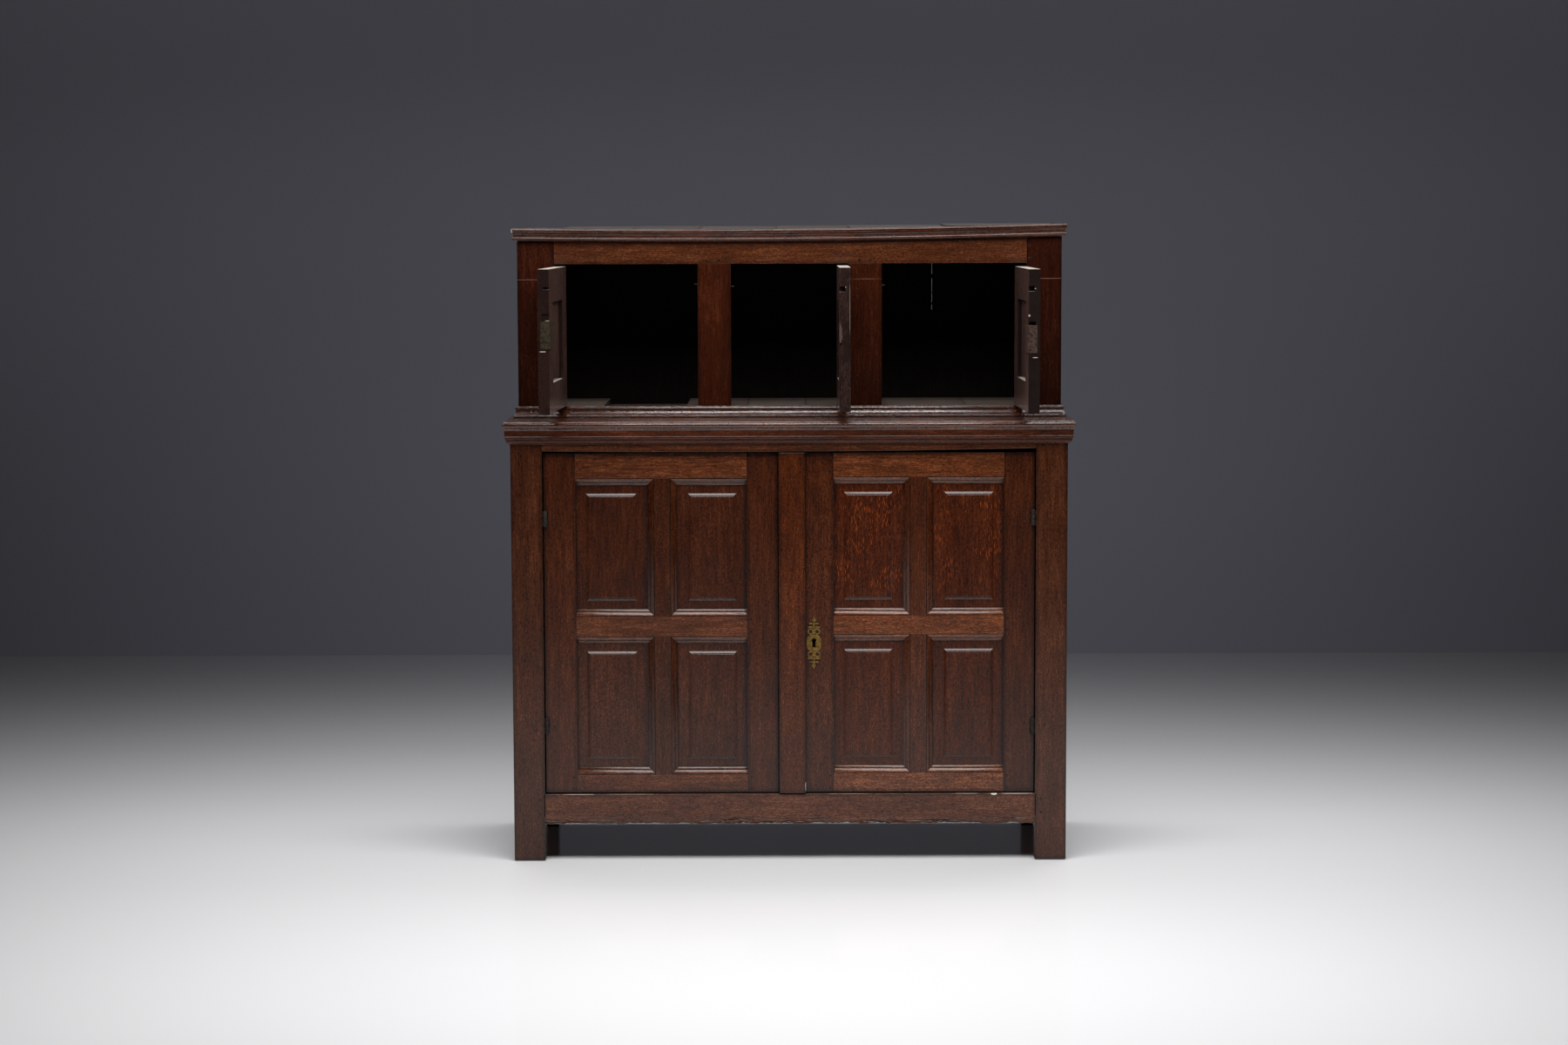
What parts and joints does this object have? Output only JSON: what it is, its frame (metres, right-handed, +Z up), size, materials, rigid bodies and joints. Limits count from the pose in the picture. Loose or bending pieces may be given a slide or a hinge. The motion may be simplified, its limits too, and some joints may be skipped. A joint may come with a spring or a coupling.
{
  "type": "court cupboard",
  "caption": "Two-stage joined oak cupboard: panelled doors below, a moulded ledge, and a shallower upper stage with plain panelled doors standing open under a moulded cornice.",
  "frame": {"origin": "on the floor, in the middle of the width, below the front face of the upper stage, which is about the middle of the depth with the upper doors open", "axes": "+Z up, +X to the right seen from the front, +Y into the cupboard towards its back"},
  "size_m": [1.4892, 0.7502, 1.6695],
  "materials": {
    "oak": "old dark reddish-brown wax polish, worn at the edges",
    "oak_raw": "unfinished, dusty grey-brown oak",
    "iron": "wrought iron, dark and rusted",
    "brass": "aged brass, tarnished"
  },
  "bodies": {
    "root": {"front_leg_left": "oak", "front_leg_right": "oak", "back_legs": "oak_raw", "lower_top_rail": "oak", "lower_bottom_rail": "oak", "lower_side_rails": "oak", "lower_side_panels": "oak", "lower_back_rails": "oak_raw", "lower_back_boards": "oak_raw", "lower_floor_boards": "oak_raw", "lower_shelf": "oak_raw", "waist_boards": "oak", "waist_moulding": "oak", "upper_stile_left": "oak", "upper_stile_right": "oak", "upper_muntins": "oak", "upper_top_rail": "oak", "upper_bottom_rail": "oak", "upper_side_rails": "oak", "upper_side_panels": "oak", "upper_back_frame": "oak_raw", "upper_back_boards": "oak_raw", "upper_floor_boards": "oak_raw", "top_boards": "oak_raw", "cornice_moulding": "oak", "base_moulding": "oak", "frame_pegs": "oak", "stop_nails": "iron", "hinge_frame_leaves": "iron", "hinge_pins": "iron"},
    "lower_door_left": {"left_door_stiles": "oak", "left_door_rails": "oak", "left_door_muntins": "oak", "left_door_panels": "oak", "left_door_pegs": "oak", "left_door_hinge_leaves": "iron", "lock_staple": "iron"},
    "lower_door_right": {"right_door_stiles": "oak", "right_door_rails": "oak", "right_door_muntins": "oak", "right_door_panels": "oak", "right_door_pegs": "oak", "right_door_hinge_leaves": "iron", "cover_strip": "oak", "escutcheon": "brass", "lock_case": "iron"},
    "lower_bolt": {"lock_bolt": "iron"},
    "upper_door_left": {"upper_left_frame": "oak", "upper_left_panel": "oak", "upper_left_hinge_leaves": "iron", "upper_left_lock": "iron"},
    "upper_bolt_left": {"upper_left_bolt": "iron"},
    "upper_door_middle": {"upper_middle_frame": "oak", "upper_middle_panel": "oak", "upper_middle_hinge_leaves": "iron"},
    "upper_door_right": {"upper_right_frame": "oak", "upper_right_panel": "oak", "upper_right_hinge_leaves": "iron", "upper_right_lock": "iron"},
    "upper_bolt_right": {"upper_right_bolt": "iron"}
  },
  "joints": [
    {"name": "lower_left_hinge", "type": "hinge", "parent": "root", "child": "lower_door_left", "pos_m": [-0.637, -0.154, 0.63], "axis": [0, 0, -1], "range_deg": [0, 170]},
    {"name": "lower_right_hinge", "type": "hinge", "parent": "root", "child": "lower_door_right", "pos_m": [0.637, -0.154, 0.63], "axis": [0, 0, 1], "range_deg": [0, 170]},
    {"name": "lower_bolt_slide", "type": "slide", "parent": "lower_door_right", "child": "lower_bolt", "axis": [-1, 0, 0], "range_m": [0, 0.014]},
    {"name": "upper_left_hinge", "type": "hinge", "parent": "root", "child": "upper_door_left", "pos_m": [-0.6165, -0.001, 1.376], "axis": [0, 0, -1], "range_deg": [-92.8, 77.2]},
    {"name": "upper_middle_hinge", "type": "hinge", "parent": "root", "child": "upper_door_middle", "pos_m": [0.157, -0.001, 1.376], "axis": [0, 0, 1], "range_deg": [-90.4, 79.6]},
    {"name": "upper_right_hinge", "type": "hinge", "parent": "root", "child": "upper_door_right", "pos_m": [0.6265, -0.001, 1.376], "axis": [0, 0, 1], "range_deg": [-91.4, 78.6]},
    {"name": "upper_left_bolt_slide", "type": "slide", "parent": "upper_door_left", "child": "upper_bolt_left", "axis": [-0.0489, -0.9988, 0], "range_m": [0, 0.01]},
    {"name": "upper_right_bolt_slide", "type": "slide", "parent": "upper_door_right", "child": "upper_bolt_right", "axis": [0.0244, -0.9997, 0], "range_m": [0, 0.01]}
  ]
}
